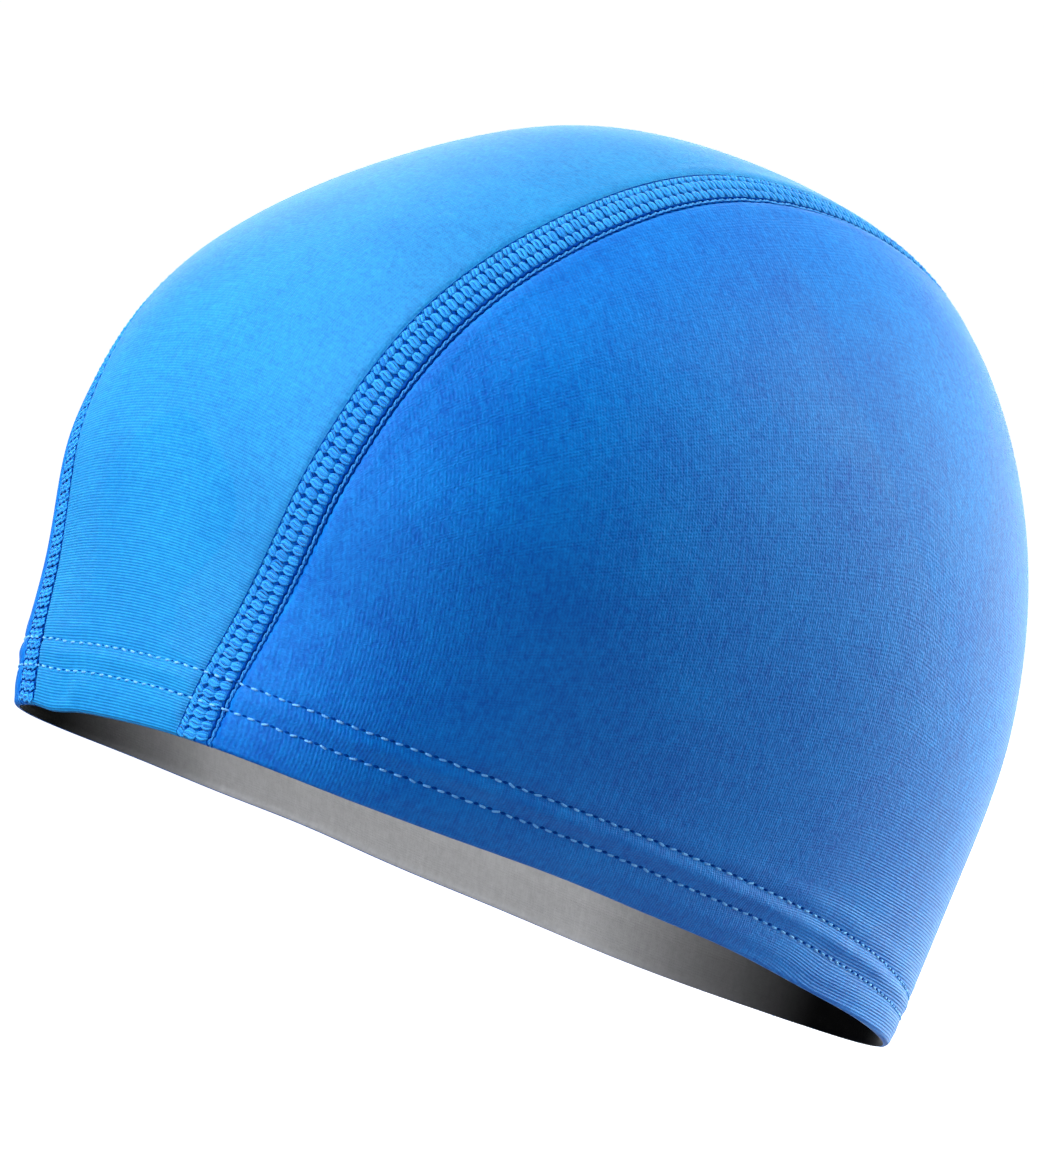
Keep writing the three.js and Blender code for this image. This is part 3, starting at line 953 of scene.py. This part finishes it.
class Field:
    """A shader value that varies over a surface. Arithmetic on it adds the nodes that work it out."""

    def __init__(self, tree, socket):
        self.tree = tree
        self.socket = socket

    def into(self, socket):
        self.tree.links.new(self.socket, socket)

    def worked(self, operation, *others):
        node = self.tree.nodes.new("ShaderNodeMath")
        node.operation = operation
        self.into(node.inputs[0])
        for socket, other in zip(node.inputs[1:], others):
            if isinstance(other, Field):
                other.into(socket)
            else:
                socket.default_value = other
        return Field(self.tree, node.outputs[0])

    def __add__(self, other):
        return self.worked("ADD", other)

    def __mul__(self, other):
        return self.worked("MULTIPLY", other)

    def __neg__(self):
        return self.worked("MULTIPLY", -1.0)

    def wave(self):
        """A sine wave from 0 to 1."""
        return self.worked("SINE") * 0.5 + 0.5

    def ranged(self, low, high, to_low=0.0, to_high=1.0):
        """From the range low to high to another range, held inside it."""
        node = self.tree.nodes.new("ShaderNodeMapRange")
        self.into(node.inputs["Value"])
        limits = {"From Min": low, "From Max": high, "To Min": to_low, "To Max": to_high}
        for key, limit in limits.items():
            node.inputs[key].default_value = limit
        return Field(self.tree, node.outputs["Result"])

    def mixed(self, first, second):
        """A colour between two others, the first at 0 and the second at 1."""
        node = self.tree.nodes.new("ShaderNodeMix")
        node.data_type = "RGBA"
        self.into(node.inputs["Factor"])
        for socket, color in ((node.inputs["A"], first), (node.inputs["B"], second)):
            if isinstance(color, Field):
                color.into(socket)
            else:
                socket.default_value = (*color, 1)
        return Field(self.tree, node.outputs["Result"])

    def bump(self, strength, distance):
        node = self.tree.nodes.new("ShaderNodeBump")
        node.inputs["Strength"].default_value = strength
        node.inputs["Distance"].default_value = distance
        self.into(node.inputs["Height"])
        return Field(self.tree, node.outputs["Normal"])


def parts_of(tree, vector):
    node = tree.nodes.new("ShaderNodeSeparateXYZ")
    tree.links.new(vector, node.inputs[0])
    return [Field(tree, part) for part in node.outputs]


def knit_parts(tree):
    """The piece's own coordinates: for cloth the places across and along the ribs and how clear they
    are, and for thread the length, the angle round it and the strand's shade."""
    attribute = tree.nodes.new("ShaderNodeAttribute")
    attribute.attribute_name = "knit"
    return parts_of(tree, attribute.outputs["Vector"])


def object_vector(tree):
    return tree.nodes.new("ShaderNodeTexCoord").outputs["Object"]


def noise(tree, scale, detail, roughness=0.5, vector=None):
    """Noise from 0 to 1, by place on the cap if no other vector is given."""
    node = tree.nodes.new("ShaderNodeTexNoise")
    node.inputs["Scale"].default_value = scale
    node.inputs["Detail"].default_value = detail
    node.inputs["Roughness"].default_value = roughness
    tree.links.new(object_vector(tree) if vector is None else vector, node.inputs["Vector"])
    return Field(tree, node.outputs["Fac"])


RIB_SPACING = 0.57
COURSE_SPACING = 0.56
LOOP_SPACING = 0.5


def knit_height(tree, across, along, clear):
    """The knit's relief from 0 to 1. Where the clearness is above zero ribs show, where it is below
    zero the courses that cross them, and round zero a pebbly mixture."""
    wander = noise(tree, scale=90.0, detail=2.0) * 1.6
    rib_turn = across * (2 * math.pi / RIB_SPACING) + wander
    loop_turn = along * (2 * math.pi / LOOP_SPACING) + wander * 2.0
    rib = rib_turn.wave()
    course = (along * (2 * math.pi / COURSE_SPACING) + wander).wave()
    loop = (rib_turn.worked("SINE") * 1.2 + loop_turn).wave()
    grains = noise(tree, scale=1500.0, detail=2.0).ranged(0.32, 0.68)
    pebbles = grains * 0.5 + (rib + course) * 0.15 + 0.1
    rib_share = clear.worked("MAXIMUM", 0.0)
    course_share = (-clear).worked("MAXIMUM", 0.0)
    pebble_share = (-(rib_share + course_share) + 1.0).worked("MAXIMUM", 0.0)
    woven = rib * rib_share + course * course_share + pebbles * pebble_share
    return woven * 0.85 + loop * 0.15


def streaks(tree, across, along):
    """Long faint streaks along the ribs, from 0 to 1."""
    stretched = tree.nodes.new("ShaderNodeCombineXYZ")
    (across * 1.1).into(stretched.inputs[0])
    (along * 0.14).into(stretched.inputs[1])
    return noise(tree, scale=1.0, detail=3.0, vector=stretched.outputs[0])


BROW_SHADE = (math.radians(41), math.radians(76))
NAPE_SHADE = (math.radians(175), math.radians(143))
DEEP_SHADE = (0.001, 0.001, 0.001)


def end_shade(tree, color):
    """Darkens a colour towards the brow and nape, where the hollow of the cap is in deep shade."""
    x, y, _ = parts_of(tree, object_vector(tree))
    heading = x.worked("ABSOLUTE").worked("ARCTAN2", -y)
    lit = (heading.ranged(*BROW_SHADE) * heading.ranged(*NAPE_SHADE)).worked("POWER", 1.6)
    return lit.mixed(DEEP_SHADE, color)


SHEEN_TINT = (0.8, 0.94, 1.0)


def fabric_material(name, light, deep, roughness, specular, sheen, contrast, relief_depth, ends=False):
    """Knitted cloth: its relief, fuzz, and a colour between deep and light that follows the relief,
    darker where the knit is low, which is painted shade in its grooves, and varies in patches,
    mottling and streaks of the cloth's own tone. ends shades it towards the brow and nape."""
    material, tree, shader = new_material(name, light, roughness, specular, sheen, SHEEN_TINT)
    across, along, clear = knit_parts(tree)
    fuzz = noise(tree, scale=2200.0, detail=3.0).ranged(0.3, 0.7)
    height = fuzz * 0.22 + knit_height(tree, across, along, clear)
    patches = noise(tree, scale=38.0, detail=4.0, roughness=0.6).ranged(0.3, 0.7, -0.12, 0.22)
    mottled = noise(tree, scale=760.0, detail=3.0).ranged(0.3, 0.7, -0.17, 0.17)
    streaked = streaks(tree, across, along).ranged(0.3, 0.7, -0.12, 0.12)
    uneven = patches + mottled + streaked + (0.3 - 0.55 * contrast)
    # Darker where the knit is low: painted shade in its grooves. Patches, mottling and streaks are the
    # cloth's own uneven tone.
    color = (height * contrast + uneven).mixed(deep, light)
    color = end_shade(tree, color) if ends else color
    color.into(shader.inputs["Base Color"])
    height.ranged(0.0, 1.2, roughness + 0.08, roughness - 0.05).into(shader.inputs["Roughness"])
    height.bump(0.8, relief_depth).into(shader.inputs["Normal"])
    return material


PLY_SPACING = 0.42


def thread_material(name, light, deep, roughness, sheen, ends=False):
    """Thread: twisted plies as fine slanted ridges, with the colour darker between them as painted
    shade, and each strand's brightness, which on the seam's bundles is partly painted highlight and shade.
    """
    material, tree, shader = new_material(name, light, roughness, 0.2, sheen)
    along, angle, strand = knit_parts(tree)
    ply = (along * (2 * math.pi / PLY_SPACING) + angle * 2.0).wave()
    # Lighter on the ply ridges and darker between them: painted shade in the twist.
    color = (ply * 0.35 + strand * 0.65).mixed(deep, light)
    color = end_shade(tree, color) if ends else color
    color.into(shader.inputs["Base Color"])
    height = noise(tree, scale=3500.0, detail=2.0) * 0.4 + ply
    height.bump(0.3, 0.00008).into(shader.inputs["Normal"])
    return material


def speckled_material(name, base, deep, light, specular, scale, detail, strength):
    """Dull dark thread, speckled between two shades, with as much relief as its strength. It also
    carries painted shade, in the needle holes and between the seam's bundles.
    """
    material, tree, shader = new_material(name, base, 0.9, specular)
    speckle = noise(tree, scale, detail)
    speckle.mixed(deep, light).into(shader.inputs["Base Color"])
    if strength:
        speckle.bump(strength, 0.0001).into(shader.inputs["Normal"])
    return material


side_fabric = fabric_material(
    "cap_fabric_knit", light=(0.0004, 0.235, 0.74), deep=(0.0001, 0.098, 0.48), roughness=0.54,
    specular=0.3, sheen=0.05, contrast=0.9, relief_depth=0.00017)
# The centre panel is the same cloth as the sides, but its colour is paler and greener: a painted sheen that
# stands in for the whitish gloss of the lights on it.
centre_fabric_painted_sheen = fabric_material(
    "cap_fabric_knit_crosswise_painted_sheen", light=(0.014, 0.31, 0.68), deep=(0.006, 0.17, 0.49), roughness=0.54,
    specular=0.4, sheen=0.04, contrast=0.9, relief_depth=0.00017)
cap_reverse = fabric_material(
    "cap_fabric_reverse", light=(0.62, 0.62, 0.622), deep=(0.46, 0.46, 0.462), roughness=0.8,
    specular=0.1, sheen=0.0, contrast=0.45, relief_depth=0.0001, ends=True)
seam_thread = thread_material("seam_thread_blue", (0.035, 0.385, 0.88), (0.003, 0.14, 0.54), 0.6, 0.22)
hem_thread = thread_material("hem_thread_pale", (0.2, 0.52, 0.94), (0.1, 0.38, 0.85), 0.6, 0.06)
cord_thread = thread_material("seam_cord_pale", (0.05, 0.34, 0.82), (0.015, 0.2, 0.64), 0.6, 0.12)
reverse_thread = thread_material(
    "reverse_thread_grey", (0.42, 0.46, 0.55), (0.3, 0.34, 0.44), 0.7, 0.0, ends=True)
# Navy ground thread under the bundles: partly its own colour, partly painted shade where it shows between
# them.
seam_ground = speckled_material(
    "seam_ground_navy", (0.001, 0.08, 0.4), (0.0005, 0.075, 0.36), (0.001, 0.13, 0.5),
    specular=0.05, scale=1500.0, detail=3.0, strength=0.6)
# Navy for the dark thread lines, and painted shade for the needle holes.
needle_thread_and_hole_shade = speckled_material(
    "needle_thread_and_hole_shade_navy", (0.0005, 0.028, 0.24), (0.0003, 0.026, 0.2), (0.0008, 0.058, 0.34),
    specular=0.03, scale=2500.0, detail=2.0, strength=0)

# Cloth.
pieces = {}
pieces["panel_center"] = centre_panel()
pieces["panel_left"] = side_panel("cap_panel_left", 1)
pieces["panel_right"] = side_panel("cap_panel_right", -1)
pieces["hem_band"] = hem_layer("cap_hem_layer")
for node_name, piece in pieces.items():
    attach(piece, "root")
    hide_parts(node_name)
    "hem_fabric" if node_name == "hem_band" else "cap_fabric"

# Seams.
for seam_name, side in (("left", 1), ("right", -1)):
    bed = seam_bed("seam_bed_" + seam_name, side)
    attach(bed, "root")
    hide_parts("seam_" + seam_name)
    for part in (
        seam_threads("seam_threads_" + seam_name, side),
        seam_threads("seam_reverse_" + seam_name, side, inside=True),
        seam_cord("seam_cord_" + seam_name, side),
        seam_holes("seam_holes_" + seam_name, side),
        *(seam_dark_line(f"seam_{line['name']}_line_{seam_name}", side, line) for line in DARK_LINES),
    ):
        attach(part, "root")

# Hem stitches.
for row_name, height, phase in (("lower", LOWER_ROW, 0.0), ("upper", UPPER_ROW, 0.3)):
    for part in (
        hem_stitches("hem_stitches_" + row_name, height, phase),
        needle_holes("hem_needle_holes_" + row_name, height, phase),
    ):
        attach(part, "root")

# Camera: the photograph's long lens, at its height and heading, a little off the cap's middle.
AZIMUTH = math.radians(54.56)
ELEVATION = math.radians(9.05)
ROLL = math.radians(-0.48)
CAMERA_DISTANCE = 1.4
IMAGE_WIDTH = 1044.0
PIXELS_PER_METRE = 5254.0
SENSOR_WIDTH = 36.0
AIM_HEIGHT = 0.07
AIM_RIGHT = 0.0114
AIM_DOWN = 0.0134
back = Vector((math.sin(AZIMUTH) * math.cos(ELEVATION), -math.cos(AZIMUTH) * math.cos(ELEVATION),
               math.sin(ELEVATION)))
right = Vector((math.cos(AZIMUTH), math.sin(AZIMUTH), 0))
up = back.cross(right)
aim = Vector((0, 0, AIM_HEIGHT)) + right * AIM_RIGHT - up * AIM_DOWN
camera_data = bpy.data.cameras.new("camera")
camera_data.sensor_fit = "HORIZONTAL"
camera_data.sensor_width = SENSOR_WIDTH
camera_data.lens = CAMERA_DISTANCE * PIXELS_PER_METRE / IMAGE_WIDTH * SENSOR_WIDTH
camera_data.clip_start = 0.05
camera_data.clip_end = 60.0
camera = bpy.data.objects.new("camera", camera_data)
camera.location = aim + back * CAMERA_DISTANCE
camera.rotation_euler = (back.to_track_quat("Z", "Y") @ Quaternion((0, 0, 1), ROLL)).to_euler()
bpy.context.scene.collection.objects.link(camera)
bpy.context.scene.camera = camera


LIGHTS_AIM = Vector((0, 0.01, 0.06))

# Soft square lights: the heading from the brow towards the wearer's left and the angle above the
# level, in degrees, the size in metres, and the strength, which is what it gives a white face.
KEY_LIGHTS = (
    {"name": "brow_light", "heading": -14, "height": 38, "size": 0.8, "strength": 1.3},
    {"name": "front_light", "heading": 15, "height": 10, "size": 0.8, "strength": 0.42},
    {"name": "nape_light", "heading": 160, "height": 12, "size": 1.0, "strength": 1.95,
     "color": (1.0, 1.08, 0.9)},
    {"name": "top_light", "heading": -84, "height": 75, "size": 0.8, "strength": 0.68},
)
FAR_TINT = (0.95, 1.0, 0.92)
GLOSS_LIGHTS = (
    {"name": "crown_gloss", "heading": -94, "height": 26, "size": 0.8, "strength": 0.14, "color": FAR_TINT},
    {"name": "back_gloss", "heading": -124, "height": 14, "size": 0.9, "strength": 0.5, "color": FAR_TINT},
    {"name": "far_gloss", "heading": -140, "height": -12, "size": 1.0, "strength": 0.68, "color": FAR_TINT},
    {"name": "nape_gloss", "heading": 175, "height": 10, "size": 1.0, "strength": 0.55,
     "color": (0.9, 1.0, 0.7)},
    {"name": "hem_gloss", "heading": 170, "height": -18, "size": 0.9, "strength": 0.64,
     "color": (0.9, 1.0, 0.8)},
)


def soft_light(name, heading, height, size, strength, distance=1.3, color=(1, 1, 1)):
    data = bpy.data.lights.new(name, "AREA")
    data.shape = "SQUARE"
    data.size = size
    data.energy = strength * (math.pi * distance) ** 2
    data.color = color
    light = bpy.data.objects.new(name, data)
    a = math.radians(heading)
    e = math.radians(height)
    toward = Vector((math.sin(a) * math.cos(e), -math.cos(a) * math.cos(e), math.sin(e)))
    light.location = LIGHTS_AIM + toward * distance
    light.rotation_euler = toward.to_track_quat("Z", "Y").to_euler()
    bpy.context.scene.collection.objects.link(light)
    return light


for row in KEY_LIGHTS:
    soft_light(**row).visible_glossy = False
for row in GLOSS_LIGHTS:
    soft_light(**row).visible_diffuse = False
low_light = soft_light("floor_bounce", 118, -74, size=0.6, strength=0.56, distance=0.45)
low_light.visible_camera = False
low_light.visible_glossy = False
hollow_data = bpy.data.lights.new("hollow_light", "POINT")
hollow_data.energy = 0.09
hollow_data.shadow_soft_size = 0.02
hollow_light = bpy.data.objects.new("hollow_light", hollow_data)
hollow_light.location = (0.005, 0.028, 0.035)
hollow_light.visible_camera = False
bpy.context.scene.collection.objects.link(hollow_light)

# Floor and far walls of the studio, in one piece.
FLOOR_HEIGHT = -0.42
FLOOR_REACH = 8.0
WALL_TOP = 7.0
floor_mesh = bpy.data.meshes.new("studio_floor")
floor_sides = ((-1, -1), (1, -1), (1, 1), (-1, 1))
floor_corners = [(x * FLOOR_REACH, y * FLOOR_REACH, FLOOR_HEIGHT) for x, y in floor_sides]
wall_corners = [(x * FLOOR_REACH, y * FLOOR_REACH, WALL_TOP) for x, y in floor_sides]
walls = [(k, k + 4, (k + 1) % 4 + 4, (k + 1) % 4) for k in range(4)]
floor_mesh.from_pydata(floor_corners + wall_corners, [], [(0, 1, 2, 3), *walls])
floor_material, _, floor_shader = new_material("studio_floor_pale", (0.86, 0.86, 0.86), 0.9, 0.1)
floor_shader.inputs["Emission Color"].default_value = (1, 1, 1, 1)
floor_shader.inputs["Emission Strength"].default_value = 0.95
floor_mesh.materials.append(floor_material)
floor = bpy.data.objects.new("studio_floor", floor_mesh)
floor.visible_glossy = False
floor.visible_diffuse = False
floor.visible_shadow = False
bpy.context.scene.collection.objects.link(floor)

world = bpy.data.worlds.new("studio")
world.use_nodes = True
world.node_tree.nodes["Background"].inputs["Color"].default_value = (0.7, 0.8, 1.2, 1)
world.node_tree.nodes["Background"].inputs["Strength"].default_value = 0.13
bpy.context.scene.world = world
bpy.context.scene.view_settings.view_transform = "Standard"
